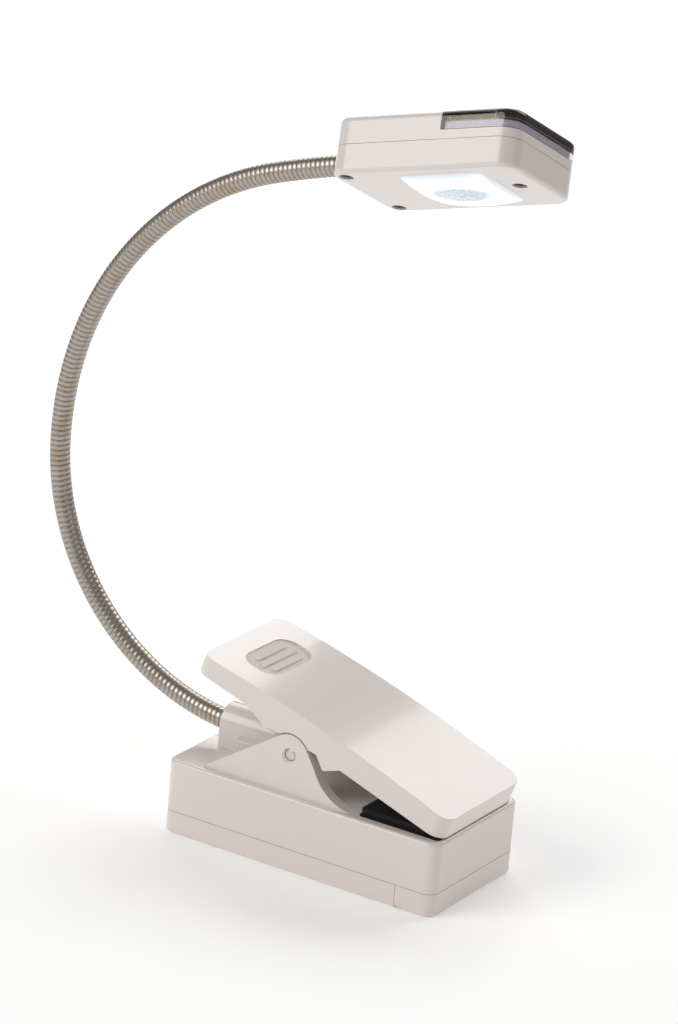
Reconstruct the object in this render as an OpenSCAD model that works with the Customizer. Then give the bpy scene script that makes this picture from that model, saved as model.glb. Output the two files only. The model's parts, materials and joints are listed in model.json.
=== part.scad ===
// Clip-on reading lamp: a sprung clamp that holds three AAA cells, a bendable
// steel neck and a slim lamp head with a smoked window and a square lens.
// Origin: centre of the base's underside. +X is the jaw end, +Z is up.

/* [Base] */
// Length of the base, jaw end to neck end
base_l = 75; // [70:1:100]
// Width of the base
base_w = 38; // [38:1:48]
// Height of the base's flat top
base_h = 18.5; // [18.5:0.5:24]
// Corner radius of the base seen from above
base_r = 3; // [1.5:0.5:5]
// Rounding of the base's long edges
base_edge = 0.9; // [0.4:0.1:1.4]
// Wall thickness of the base
base_wall = 1.6; // [1.2:0.1:2]
// Height of the lower tray, up to the seam round the base
tray_h = 5.7; // [5:0.1:6.5]
// Floor thickness of the lower tray
tray_floor = 1.4; // [1:0.1:1.6]
// Length of the fixed tray at the jaw end
front_tray_l = 10; // [9:0.5:12]

/* [Cells] */
// Diameter of an AAA cell
cell_d = 10.5; // [10:0.1:10.5]
// Length of an AAA cell with its button
cell_l = 44.5; // [44:0.1:45]
// Number of cells side by side
cell_count = 3; // [2:1:3]

/* [Clamp] */
// Diameter of the hinge pin
pin_d = 3; // [2:0.1:4]
// Pin position along the base, from its middle
pin_x = -5; // [-10:0.5:5]
// Pin height above the base's top
pin_rise = 9.5; // [8.5:0.1:12]
// Radius of the cheek round the pin
cheek_r = 5.2; // [4.5:0.1:6]
// Thickness of each cheek
cheek_t = 3.2; // [2:0.1:4]
// Reach of the cheek's rear slope behind the pin
cheek_rear = 23.5; // [16:0.5:26]
// Reach of the cheek's front foot before the pin
cheek_toe = 19.2; // [18.6:0.2:22]
// Radius of the cheek's front sweep
cheek_sweep = 13; // [9:0.5:13]
// Length of the clamp lever
lever_l = 73.3; // [71:0.1:76]
// Width of the clamp lever
lever_w = 34.2; // [32:0.2:36]
// Slope of the closed lever, down towards the jaw
lever_tilt = 17.6; // [16:0.1:19]
// Side wall thickness of the lever
lever_wall = 1.4; // [1:0.1:1.8]
// Top wall thickness of the lever
lever_top = 2; // [1.6:0.1:2.4]
// Corner radius of the lever seen from above
lever_r = 3.6; // [3:0.1:6]
// Radius of the lever's gently arched top
lever_arch = 430; // [300:10:600]
// Thickness of the rubber jaw pad on the base
pad_t = 1.6; // [1:0.1:2]
// Length of the rubber jaw pad
pad_l = 21; // [12:0.1:24]
// Wire diameter of the clamp spring
spring_wire = 1; // [0.8:0.1:1.2]

/* [Neck] */
// Outer diameter of the bendable neck
neck_d = 5; // [4:0.1:6]
// Bore of the bendable neck
neck_bore = 2.6; // [2:0.1:3.2]
// Number of neck links
link_count = 10; // [8:1:12]
// Length of each neck link along its middle line
link_l = 20.7; // [17:0.1:25]
// How far the neck rises as it leaves the base, in degrees
neck_rise = 7; // [0:1:20]
// Bend of each of the four lower links, in degrees
lower_bend = 20.4; // [10:0.1:24]
// Bend of each upper link, in degrees
upper_bend = 14.5; // [8:0.1:18]
// Bend of the last link, in degrees
last_bend = 4.5; // [1:0.5:10]

/* [Head] */
// Length of the lamp head
head_l = 47.8; // [42:0.1:60]
// Width of the lamp head
head_w = 29; // [27:1:36]
// Thickness of the lamp head
head_t = 13.6; // [13:0.1:18]
// Turn of the head about the neck, in degrees
head_roll = -28; // [-90:1:90]
// Corner radius of the head seen from above
head_r = 4.5; // [3.5:0.1:6]
// Rounding of the head's upper edge
head_top_edge = 1.6; // [0.8:0.1:2]
// Rounding of the head's lower edge
head_low_edge = 1; // [0.6:0.1:1.2]
// Wall thickness of the head's shells
head_wall = 1.3; // [1:0.1:1.6]
// Height of the head's seam
head_seam = 6.8; // [6:0.1:8]
// Where the smoked window begins, from the neck end
window_x = 28.6; // [24:0.1:32]
// Height of the window's lower edge
window_z = 8.9; // [8.5:0.1:10]
// Thickness of the smoked window
window_t = 1; // [0.8:0.1:1.2]
// Length of the square lens
lens_l = 21; // [16:0.5:22]
// Width of the square lens
lens_w = 20; // [15:0.5:21]
// Middle of the lens, from the neck end
lens_x = 27; // [26:0.5:28]
// How far the lens stands proud at its middle
lens_proud = 1.8; // [1:0.1:2.5]
// Diameter of the on-off button
button_d = 6.5; // [5:0.1:8]
// How far the button stands above the head
button_proud = 1.4; // [1.1:0.1:2]

/* [Fits] */
// Radial play of the lever's lugs on the hinge pin
pin_play = 0.05; // [0.02:0.01:0.1]
// Gap between fixed mouldings at a seam
seam_gap = 0.1; // [0.05:0.05:0.2]
// Gap between parts that slide or swing past each other
slide_gap = 0.3; // [0.2:0.05:0.4]
// Radial play in the ball joints of the neck
ball_play = 0.2; // [0.15:0.01:0.25]

/* [Hidden] */
$fn = 64;
e = 0.01;

off_white = [0.90, 0.87, 0.84];
steel = [0.72, 0.71, 0.69];
brass = [0.80, 0.68, 0.40];
rubber = [0.06, 0.06, 0.07];
board_green = [0.12, 0.36, 0.20];

// Base and cells
body_z = tray_h + seam_gap;
inner_w = base_w - 2 * base_wall;
tray_split_x = base_l / 2 - front_tray_l;
door_split_x = tray_split_x - seam_gap;
cell_z = tray_floor + 0.35 + cell_d / 2;
cell_pitch = cell_d + 0.4;
cells_x1 = tray_split_x - 7;
cells_x0 = cells_x1 - cell_l;
cradle_t = 1.2;
cradle_z = cell_z + cell_d / 2 + 0.3;
end_wall_t = 1.2;
spring_len = 4.6;
plate_t = 0.4;
front_wall_x = cells_x1 + plate_t;
rear_wall_x = cells_x0 - spring_len - end_wall_t;
cells_w = (cell_count - 1) * cell_pitch + cell_d;
board_t = 1.2;
driver_z = body_z + 2.6;
driver_l = base_l / 2 - base_wall - 1 - front_wall_x - end_wall_t - 1;
driver_x = front_wall_x + end_wall_t + 1 + driver_l / 2;
driver_w = inner_w - 12;
board_post_d = 3;
board_post_y = driver_w / 2 - board_post_d / 2 - 0.5;
screw_d = 2;
screw_post_d = screw_d + 2.6;
screw_pass_d = screw_d + 0.2;
screw_head_d = 3.8;
screw_sink_d = 4.2;
lead_d = 0.9;
lead_gap = 0.55;
lead_hole_d = 2.6;
tray_screw_x = tray_split_x + front_tray_l / 2 + 0.6;
tray_screw_y = inner_w / 2 - 2.6;
rail_t = 0.8;
rail_y = inner_w / 2 - slide_gap;
rail_z = 3.4;
rail_foot = 0.6;
rail_x0 = -base_l / 2 + base_wall + 1.5;
rail_x1 = door_split_x - 1;
pry_notch = [2, 1.6, 1.4];
cover_groove = [1, 16, 0.9];
cover_groove_pitch = 2.2;

// Clamp
pin_z = base_h + pin_rise;
cheek_y = lever_w / 2;
pin_recess = 0.5;
pin_sink = 1.2;
pin_len = lever_w - 2 * pin_recess;
lever_x0 = -30.5;
lever_x1 = lever_x0 + lever_l;
arch_x = (lever_x0 + lever_x1) / 2;
arch_top = 11;
skirt_rear = 4.9;
skirt_front = 4;
lug_y1 = cheek_y - cheek_t - slide_gap;
lug_t = 2.3;
pad_front_gap = 1.9;
pad_x1 = base_l / 2 - pad_front_gap;
pad_x0 = pad_x1 - pad_l;
pad_lip_t = 0.3;
pad_lip_x1 = base_l / 2 - 1.2;
pad_w = lever_w - 2 * lever_wall - 0.6;
grip_x = -19.3;
grip_l = 19.6;
grip_w = 10.4;
grip_depth = 0.55;
grip_r = 4.4;
coil_r = pin_d / 2 + 1.5;
coil_turns = 9;

// Neck
neck_r = neck_d / 2;
socket_r = neck_r + 2.2;
socket_x0 = -base_l / 2 + 5;
socket_x1 = socket_x0 + 16;
foot_x0 = socket_x0 + 6.5;
lead_x = socket_x1 - 3;
root_flange_d = neck_d + 2;
foot_w = 16;
foot_h = 4.8;
neck_x = -base_l / 2 + 2;
neck_z = base_h + 5.6;
root_l = 13;
function bend(i) = i < 4 ? lower_bend : i < link_count - 1 ? upper_bend : last_bend;
function heading(i) = i == 0 ? 180 - neck_rise : heading(i - 1) - bend(i - 1);
function arc_r(i) = link_l / bend(i) * 180 / PI;
function arc_x(i) = arc_r(i) * sin(bend(i));
function arc_z(i) = -arc_r(i) * (1 - cos(bend(i)));
function pivot(i) = i == 0 ? [neck_x, 0, neck_z]
    : let (h = heading(i - 1), x = arc_x(i - 1), z = arc_z(i - 1))
      pivot(i - 1) + [x * cos(h) - z * sin(h), 0, x * sin(h) + z * cos(h)];

// Head, in its own frame: x from its neck end, z from its underside
neck_end_gap = 3;
axis_z = head_t / 2;
tip_l = 7;
flange_d = 8.4;
flange_t = 1.2;
collar_l = 2;
collar_d1 = neck_d + 5;
collar_d2 = neck_d + 3.4;
liner_t = 0.8;
liner_h = 1.8;
core_in = window_t + liner_t + 0.2;
core_wall = 1;
head_screw_d = 1.5;
head_end_screw_x = head_l - 5.9;
head_screw_at = [[3.4, 11.3], [3.4, -11.3], [head_end_screw_x, 0]];
head_pass_d = head_screw_d + 0.2;
head_screw_head = 2.9;
recess_d = 3.4;
post_d = 4.4;
led_board_z = head_seam + 1.7;
led_board_x0 = 9.4;
led_board_x1 = head_end_screw_x - post_d / 2 - 0.8;
led_board_w = 2 * (head_w / 2 - core_in - core_wall) - 1;
led_t = 1.2;
flange_lip = 0.9;
flange_h = 1;
reflector_z0 = head_wall + flange_h + 0.1;
button_x = 12.8;
button_travel = 0.8;
switch_top = head_t - head_wall - 1.3;

// ---- Shared shapes ----

// Flat rounded rectangle centred on the origin
module rounded(l, w, r) {
    square([l - 2 * r, w], center = true);
    square([l, w - 2 * r], center = true);
    for (sx = [-1, 1], sy = [-1, 1])
        translate([sx * (l / 2 - r), sy * (w / 2 - r)]) circle(r);
}

// What a rounded corner leaves of its square, with the corner at the origin
module corner_waste(r) {
    difference() {
        translate([-r, -r]) square(r + 1);
        translate([-r, -r]) circle(r);
    }
}

// Half section from the middle out to x = w, its outer corners rounded
module edge_section(w, h, top, low) {
    difference() {
        square([w, h]);
        if (top > 0) translate([w, h]) corner_waste(top);
        if (low > 0) translate([w, 0]) mirror([0, 1]) corner_waste(low);
    }
}

module full_section(w, h, top, low) {
    edge_section(w / 2, h, top, low);
    mirror([1, 0]) edge_section(w / 2, h, top, low);
}

// Block with upright corners of radius r and softened top and bottom edges
module soft_block(l, w, h, r, top, low) {
    for (sx = [-1, 1], sy = [-1, 1])
        translate([sx * (l / 2 - r), sy * (w / 2 - r), 0])
            rotate_extrude() edge_section(r, h, top, low);
    rotate([90, 0, 0])
        linear_extrude(w - 2 * r, center = true) full_section(l, h, top, low);
    rotate([90, 0, 90])
        linear_extrude(l - 2 * r, center = true) full_section(w, h, top, low);
}

module box(x0, x1, w, z0, z1) {
    translate([x0, -w / 2, z0]) cube([x1 - x0, w, z1 - z0]);
}

// Round bar between two points
module rod(a, b, d) {
    v = b - a;
    translate(a)
        rotate([0, acos(v.z / norm(v)), atan2(v.y, v.x)])
            cylinder(d = d, h = norm(v));
}

// Round wire along a list of points, with ball elbows
module wire(points, d) {
    for (i = [0:len(points) - 2]) rod(points[i], points[i + 1], d);
    for (i = [1:len(points) - 2]) translate(points[i]) sphere(d = d + 0.1);
}

// Machine screw pointing up: head, shank and cross slot
module screw(d, head_d, head_h, l) {
    difference() {
        union() {
            cylinder(d = head_d, h = head_h);
            cylinder(d = d, h = head_h + l);
        }
        for (a = [0, 90])
            rotate(a) translate([0, 0, head_h * 0.25])
                cube([head_d * 0.7, head_d * 0.18, head_h], center = true);
    }
}

// ---- Base ----

module tray_shape(x0, x1) {
    intersection() {
        soft_block(base_l, base_w, tray_h + 5, base_r, 0, base_edge);
        box(x0, x1, base_w + 2, -1, tray_h);
    }
}

module tray_inside(h) {
    translate([0, 0, tray_floor])
        linear_extrude(h)
            rounded(base_l - 2 * base_wall, inner_w, base_r - base_wall / 2);
}

module at_tray_screws() {
    for (s = [-1, 1]) translate([tray_screw_x, s * tray_screw_y, 0]) children();
}

// Where a line from p touches the cheek's circle; side picks one of the two
function touch_point(p, side) =
    let (a = atan2(p.y, p.x) + side * acos(cheek_r / norm(p))) cheek_r * [cos(a), sin(a)];

// Outline of one cheek in the XZ plane, drawn about the pin: a straight rear
// slope, a round top and a front edge that sweeps out along the base
module cheek_outline() {
    foot = -pin_rise;
    rear = [-cheek_rear, foot];
    sweep = [cheek_toe, foot + cheek_sweep];
    lean = atan2(sweep.y, sweep.x) + acos((cheek_r + cheek_sweep) / norm(sweep));
    edge = [cos(lean), sin(lean)];
    bend_at = sweep - cheek_sweep * edge;
    circle(cheek_r);
    difference() {
        polygon([rear, touch_point(rear, -1), [0, 0], cheek_r * edge, bend_at,
                 [cheek_toe - 1, bend_at.y], [cheek_toe - 1, foot]]);
        translate(sweep - 0.15 * edge) circle(cheek_sweep);
    }
}

module cheeks() {
    for (s = [-1, 1])
        translate([pin_x, s * (cheek_y - cheek_t / 2), pin_z])
            rotate([90, 0, 0])
                linear_extrude(cheek_t, center = true) cheek_outline();
}

// Mouth of the pin hole, opened by a small countersink on each outer face
module pin_hole() {
    translate([pin_x, 0, pin_z]) rotate([90, 0, 0]) {
        cylinder(d = pin_d, h = lever_w + 2, center = true);
        for (s = [0, 1]) mirror([0, 0, s])
            translate([0, 0, cheek_y - pin_recess])
                cylinder(d1 = pin_d, d2 = pin_d + pin_sink, h = pin_recess + 0.1);
    }
}

module battery_cradle() {
    box(rear_wall_x, front_wall_x + end_wall_t, inner_w + 2 * e, cradle_z, cradle_z + cradle_t);
    for (x = [rear_wall_x, front_wall_x])
        box(x, x + end_wall_t, cells_w, tray_floor + 0.4, cradle_z + e);
}

// Section of one rail that holds the battery cover: it hangs from the wall and
// ends in a foot that points outwards
module rail_section() {
    translate([rail_y - rail_t, rail_z]) square([rail_t, body_z + 1.2 - rail_z]);
    translate([rail_y - rail_t, body_z]) square([rail_t + slide_gap + e, 1.2]);
    translate([rail_y - e, rail_z]) square([rail_foot + e, rail_foot]);
}

module cover_rails() {
    for (s = [0, 1]) mirror([0, s, 0])
        translate([rail_x0, 0, 0]) rotate([90, 0, 90])
            linear_extrude(rail_x1 - rail_x0) rail_section();
}

module cover_grooves() {
    for (s = [0, 1]) mirror([0, s, 0])
        translate([rail_x0 - slide_gap, 0, 0]) rotate([90, 0, 90])
            linear_extrude(base_l) translate([rail_y, rail_z - slide_gap])
                square([rail_foot + slide_gap, rail_foot + 2 * slide_gap]);
}

module base_shell() {
    color(off_white) difference() {
        union() {
            difference() {
                translate([0, 0, body_z])
                    soft_block(base_l, base_w, base_h - body_z, base_r, base_edge, 0);
                translate([0, 0, body_z - 1])
                    linear_extrude(base_h - base_wall - body_z + 1)
                        rounded(base_l - 2 * base_wall, inner_w, base_r - base_wall / 2);
            }
            battery_cradle();
            cover_rails();
            cheeks();
            at_tray_screws() translate([0, 0, tray_h + seam_gap])
                cylinder(d = screw_post_d, h = base_h - base_wall - body_z + e);
            for (s = [-1, 1])
                translate([driver_x, s * board_post_y, driver_z + board_t])
                    cylinder(d = board_post_d, h = base_h - base_wall - driver_z - board_t + e);
        }
        pin_hole();
        at_tray_screws() translate([0, 0, tray_h])
            cylinder(d = screw_d, h = 9);
        at_socket_screws() translate([0, 0, base_h - base_wall - 1])
            cylinder(d = screw_pass_d, h = base_wall + 2);
        lead_hole();
    }
}

module front_tray() {
    color(off_white) difference() {
        union() {
            difference() {
                tray_shape(tray_split_x, base_l);
                tray_inside(tray_h);
            }
            box(tray_split_x, tray_split_x + 1, inner_w + e, tray_floor - e, tray_h - 1.6);
            at_tray_screws() cylinder(d = screw_post_d, h = tray_h);
        }
        at_tray_screws() {
            translate([0, 0, -1]) cylinder(d = screw_pass_d, h = tray_h + 2);
            translate([0, 0, -1]) cylinder(d = screw_sink_d, h = 2.6);
        }
        for (s = [-1, 1])
            translate([tray_split_x + pry_notch.x / 2 + 0.2, s * base_w / 2, 0])
                cube(pry_notch, center = true);
    }
}

module battery_cover() {
    color(off_white) difference() {
        tray_shape(-base_l, door_split_x);
        tray_inside(tray_h);
        cover_grooves();
        for (i = [0:4])
            translate([-base_l / 2 + 9 + i * cover_groove_pitch, 0, 0])
                cube(cover_groove, center = true);
    }
}

module cells() {
    for (i = [0:cell_count - 1])
        translate([cells_x0, (i - (cell_count - 1) / 2) * cell_pitch, cell_z])
            rotate([0, 90, 0]) {
                color([0.20, 0.24, 0.30]) cylinder(d = cell_d, h = cell_l - 1.2);
                color(steel) cylinder(d = 3.8, h = cell_l);
            }
}

// Beehive spring: touching turns that widen towards the wall
module contact_springs() {
    wire_d = 0.8;
    turns = 6;
    step = (spring_len - wire_d - 0.05) / (turns - 1);
    color(steel) for (i = [0:cell_count - 1])
        translate([cells_x0 - spring_len, (i - (cell_count - 1) / 2) * cell_pitch, cell_z])
            rotate([0, 90, 0])
                rotate_extrude()
                    for (k = [0:turns - 1])
                        translate([3.2 - k * 0.25, wire_d / 2 + k * step]) circle(d = wire_d);
}

module contact_plates() {
    color(brass) for (i = [0:cell_count - 1])
        translate([cells_x1, (i - (cell_count - 1) / 2) * cell_pitch - 3.5, cell_z - 3.5])
            cube([plate_t, 7, 7]);
}

module driver_board() {
    color(board_green)
        box(driver_x - driver_l / 2, driver_x + driver_l / 2, driver_w, driver_z, driver_z + board_t);
}

module driver_parts() {
    z = driver_z + board_t;
    color([0.15, 0.15, 0.16]) translate([driver_x - 1.5, -2.5, z]) cube([3, 5, 1.6]);
    color([0.75, 0.66, 0.52]) translate([driver_x, 7.5, z + 0.9])
        rotate([90, 0, 0]) cylinder(d = 1.8, h = 3.6);
    color([0.15, 0.15, 0.16]) translate([driver_x, -5.5, z]) cylinder(d = 3.2, h = 2.4);
}

module lead_hole() {
    translate([lead_x, 0, base_h - base_wall - 1])
        cylinder(d = lead_hole_d, h = base_wall + 2);
}

// Two-core lead from the driver board up into the neck socket
module base_leads() {
    z = cradle_z + cradle_t + 0.7;
    for (s = [-1, 1])
        color(s > 0 ? [0.7, 0.1, 0.1] : [0.12, 0.12, 0.13])
            wire([[driver_x - 1, s * lead_gap, driver_z + board_t + 1.7],
                  [driver_x - 4, s * lead_gap, z], [lead_x, s * lead_gap, z],
                  [lead_x, s * lead_gap, base_h + 3]], lead_d);
}

module tray_screws() {
    color(steel) at_tray_screws() translate([0, 0, 0.4]) screw(screw_d, screw_head_d, 1.2, 9);
}

module at_socket_screws() {
    for (s = [-1, 1])
        translate([socket_x1 - 4.5, s * (foot_w / 2 - 2.2), 0]) children();
}

module socket_screws() {
    color(steel) at_socket_screws()
        translate([0, 0, base_h - base_wall - 0.6]) screw(screw_d, 3.4, 0.6, base_wall + 3.4);
}

// Pad with a thin lip that fills the gap under the closed lever's edge; the
// raised part keeps the shape of the lever's inside at the tip
module jaw_pad() {
    lip_l = pad_lip_x1 - pad_x0;
    color(rubber) translate([0, 0, base_h]) {
        translate([pad_x0 + lip_l / 2, 0, 0])
            linear_extrude(pad_lip_t) rounded(lip_l, lever_w - 1.2, 0.8);
        linear_extrude(pad_t) {
            translate([pad_x1 - pad_l / 2, 0]) rounded(pad_l, pad_w, lever_r - lever_wall);
            translate([pad_x0 + pad_l / 4, 0]) rounded(pad_l / 2, pad_w, 0.6);
        }
    }
}

module hinge_pin() {
    color(steel) translate([pin_x, 0, pin_z]) rotate([90, 0, 0])
        intersection() {
            cylinder(d = pin_d, h = pin_len, center = true);
            sphere(r = pin_len / 2, $fn = 128);
        }
}

// ---- Clamp lever, drawn in its own frame about the pin ----

module lever_frame() {
    translate([pin_x, 0, pin_z]) rotate([0, lever_tilt, 0]) children();
}

module lever_side(inset) {
    intersection() {
        translate([arch_x, arch_top - lever_arch]) circle(lever_arch - inset, $fn = 720);
        polygon([
            [lever_x0 - 1, skirt_rear], [-14.5, skirt_rear], [-8.6, 2.6], [-6.4, 3.4],
            [6.2, skirt_front + 0.4], [9.2, 1.7], [13.2, skirt_front + 0.5],
            [lever_x1 - 4, skirt_front], [lever_x1 + 1, skirt_front],
            [lever_x1 + 1, arch_top + 1], [lever_x0 - 1, arch_top + 1]
        ]);
    }
}

module lever_plan(inset, z0, z1) {
    translate([arch_x, 0, z0]) linear_extrude(z1 - z0)
        rounded(lever_l - 2 * inset, lever_w - 2 * inset, lever_r - inset);
}

module lever_cavity() {
    intersection() {
        lever_plan(lever_wall, -5, arch_top);
        rotate([90, 0, 0]) linear_extrude(lever_w, center = true)
            translate([arch_x, arch_top - lever_arch]) circle(lever_arch - lever_top, $fn = 720);
    }
}

module lever_lugs() {
    for (s = [-1, 1])
        translate([0, s * (lug_y1 - lug_t / 2), 0]) rotate([90, 0, 0])
            linear_extrude(lug_t, center = true) {
                circle(cheek_r - 0.4);
                polygon([[-14, 9.6], [-14, 6.2], [-9.4, 2], [-5, -1], [4, -1.6],
                         [10.8, 2.4], [13, 5], [13, 9.6]]);
            }
}

// Thumb grip: a shallow dish with three cross ribs
module grip() {
    floor_z = arch_at(grip_x, 0) - grip_depth;
    difference() {
        translate([grip_x, 0, floor_z]) linear_extrude(5) rounded(grip_w, grip_l, grip_r);
        for (i = [-1:1])
            translate([grip_x + i * 2.5, 0, floor_z])
                cube([1.3, grip_l - 5.4 - abs(i) * 2.6, 0.7], center = true);
    }
}

module clamp_lever() {
    color(off_white) lever_frame() difference() {
        union() {
            difference() {
                intersection() {
                    lever_plan(0, -2, arch_top + 1);
                    rotate([90, 0, 0]) linear_extrude(lever_w + 2, center = true) lever_side(0);
                }
                lever_cavity();
            }
            lever_lugs();
        }
        rotate([90, 0, 0]) {
            cylinder(r = pin_d / 2 + pin_play, h = lever_w + 2, center = true);
            for (s = [0, 1]) mirror([0, 0, s])
                translate([0, 0, lug_y1 + slide_gap / 2])
                    cylinder(r = cheek_r + slide_gap + 0.1, h = cheek_t + 2);
        }
        grip();
    }
}

// Height of the lever's arch above the pin, at u along the lever
function arch_at(u, inset) =
    arch_top - lever_arch + sqrt(pow(lever_arch - inset, 2) - pow(u - arch_x, 2));

// Height in the lever's frame of a level plane that lies rise above the base's top
function level_at(u, rise) = (rise - pin_rise + u * sin(lever_tilt)) / cos(lever_tilt);

// Rubber strip inside the lever's tip, which meets the jaw pad
module lever_pad() {
    tip = lever_x1 - lever_wall - slide_gap;
    heel = tip - 12;
    touch = tip - 2.2;
    rest = pad_t + 0.05;
    roof = lever_top + 0.05;
    color(rubber) lever_frame() intersection() {
        rotate([90, 0, 0]) linear_extrude(pad_w, center = true)
            polygon([[heel, level_at(touch, rest) + 1], [touch, level_at(touch, rest)],
                     [tip + 1, level_at(tip + 1, rest)], [tip + 1, arch_at(tip, roof)],
                     [heel, arch_at(heel, roof)]]);
        lever_plan(lever_wall + slide_gap, -5, arch_top + 5);
    }
}

// Coil of touching turns round the pin, with one leg on the base and one under the lever
module clamp_spring() {
    w = spring_wire;
    half = coil_turns * w * 0.96 / 2;
    rest = base_h + w / 2 + 0.05;
    color(steel) translate([pin_x, 0, pin_z]) {
        rotate([90, 0, 0]) rotate_extrude()
            for (k = [0:coil_turns])
                translate([coil_r, -half + k * w * 0.96]) circle(d = w);
        rod([0, -half, -coil_r], [-9.2, -half, rest - pin_z], w);
        rotate([0, lever_tilt, 0])
            rod([0, half, coil_r], [-11.5, half, arch_top - lever_top - w / 2 - 0.55], w);
    }
}

// ---- Neck ----

// The half ball that ends a link, with the bore through it and a short spigot
// that beds it in the link; its axis is +X
module ball_end() {
    r = neck_r - 0.02;
    rotate([0, 90, 0]) rotate_extrude() difference() {
        union() {
            circle(r);
            translate([0, -0.4]) square([r, 0.4]);
        }
        translate([-neck_d, -neck_d]) square([2 * neck_d, neck_d - 0.4]);
        translate([-neck_d, -neck_d]) square([neck_d + neck_bore / 2 + 0.02, 3 * neck_d]);
    }
}

module ring_section() {
    difference() {
        circle(neck_r);
        circle(d = neck_bore);
    }
}

module link_frame(i) {
    translate(pivot(i)) rotate([0, -heading(i), 0]) children();
}

// One length of the wound neck: a true arc with a ball at its far end and a
// hollow cup at its near end
module neck_link(i) {
    color(steel) link_frame(i) difference() {
        union() {
            translate([0, 0, -arc_r(i)]) rotate([0, -90, -90])
                rotate_extrude(angle = bend(i)) translate([arc_r(i), 0]) ring_section();
            translate([arc_x(i), 0, arc_z(i)]) rotate([0, bend(i), 0]) ball_end();
        }
        sphere(neck_r + ball_play);
    }
}

module neck_link_01() { neck_link(0); }
module neck_link_02() { neck_link(1); }
module neck_link_03() { neck_link(2); }
module neck_link_04() { neck_link(3); }
module neck_link_05() { neck_link(4); }
module neck_link_06() { neck_link(5); }
module neck_link_07() { neck_link(6); }
module neck_link_08() { neck_link(7); }
module neck_link_09() { neck_link(8); }
module neck_link_10() { neck_link(9); }

module socket_bore() {
    link_frame(0) rotate([0, -90, 0]) {
        translate([0, 0, -5]) cylinder(d = neck_d, h = root_l + 5);
        translate([0, 0, root_l - flange_t]) cylinder(d = root_flange_d, h = flange_t + 0.2);
    }
}

// Moulded socket that stands on the base and holds the neck's root
module neck_socket() {
    color(off_white) difference() {
        union() {
            translate([socket_x0, 0, neck_z]) rotate([0, 90, 0])
                cylinder(r = socket_r, h = socket_x1 - socket_x0);
            box(socket_x0, socket_x1, 2 * socket_r, base_h, neck_z);
            box(foot_x0, socket_x1, foot_w, base_h, base_h + foot_h);
        }
        socket_bore();
        translate([lead_x, 0, base_h - 1]) cylinder(d = lead_hole_d, h = 6);
        at_socket_screws() translate([0, 0, base_h - 1]) cylinder(d = screw_d, h = 4.6);
    }
}

module neck_root() {
    color(steel) link_frame(0) {
        rotate([0, -90, 0]) difference() {
            union() {
                cylinder(d = neck_d, h = root_l);
                translate([0, 0, root_l - flange_t]) cylinder(d = root_flange_d, h = flange_t);
            }
            translate([0, 0, -1]) cylinder(d = neck_bore, h = root_l + 2);
        }
        ball_end();
    }
}

// ---- Head ----

module head_frame() {
    translate(pivot(link_count)) rotate([0, -heading(link_count), 0])
        rotate([head_roll, 0, 0]) translate([neck_end_gap, 0, -axis_z]) children();
}

// The head's outer form, drawn in by a wall thickness
module head_form(inset) {
    translate([head_l / 2, 0, inset])
        soft_block(head_l - 2 * inset, head_w - 2 * inset, head_t - 2 * inset,
                   head_r - inset * 0.7, max(head_top_edge - inset, 0.4),
                   max(head_low_edge - inset, 0.3));
}

module head_slab(inset, x0, x1, z0, z1) {
    intersection() {
        head_form(inset);
        box(x0, x1, head_w + 4, z0, z1);
    }
}

module at_head_screws() {
    for (p = head_screw_at) translate([p.x, p.y, 0]) children();
}

module neck_tip_bore() {
    translate([-neck_end_gap, 0, axis_z]) rotate([0, 90, 0]) {
        cylinder(d = neck_d, h = neck_end_gap + tip_l + 0.5);
        translate([0, 0, neck_end_gap + tip_l - flange_t]) cylinder(d = flange_d, h = flange_t + 0.3);
        cylinder(d = neck_bore, h = neck_end_gap + tip_l + 4);
    }
}

module neck_tip() {
    color(steel) head_frame() translate([-neck_end_gap, 0, axis_z]) rotate([0, 90, 0])
        difference() {
            union() {
                cylinder(d = neck_d, h = neck_end_gap + tip_l);
                translate([0, 0, neck_end_gap + tip_l - flange_t]) cylinder(d = flange_d, h = flange_t);
            }
            translate([0, 0, -1]) cylinder(d = neck_bore, h = neck_end_gap + tip_l + 2);
            sphere(neck_r + ball_play);
        }
}

module head_collar() {
    color(off_white) head_frame() translate([0, 0, axis_z]) rotate([0, -90, 0])
        difference() {
            cylinder(d1 = collar_d1, d2 = collar_d2, h = collar_l);
            translate([0, 0, -1]) cylinder(d = neck_d, h = collar_l + 2);
        }
}

module lens_opening(grow) {
    translate([lens_x, 0, -1]) linear_extrude(head_wall + 2)
        rounded(lens_l + 2 * grow, lens_w + 2 * grow, 1.6 + grow);
}

module neck_saddle() {
    box(head_wall - e, tip_l + 1.6, flange_d + 2.4, head_wall - e, head_t - head_wall + e);
}

module head_lower_shell() {
    color(off_white) head_frame() difference() {
        union() {
            difference() {
                head_slab(0, -1, head_l + 1, -1, head_seam - seam_gap);
                head_slab(head_wall, 0, head_l, 0, head_t);
            }
            intersection() {
                neck_saddle();
                box(0, head_l, head_w, 0, head_seam - seam_gap);
            }
            at_head_screws() translate([0, 0, e]) cylinder(d = post_d, h = head_seam - seam_gap - e);
        }
        neck_tip_bore();
        lens_opening(0.1);
        at_head_screws() {
            translate([0, 0, -1]) cylinder(d = head_pass_d, h = head_seam + 2);
            translate([0, 0, -1]) cylinder(d = recess_d, h = 2.5);
        }
    }
}

module window_zone(grow) {
    box(window_x - grow, head_l + 1, head_w + 4, window_z - grow, head_t + 1);
}

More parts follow.
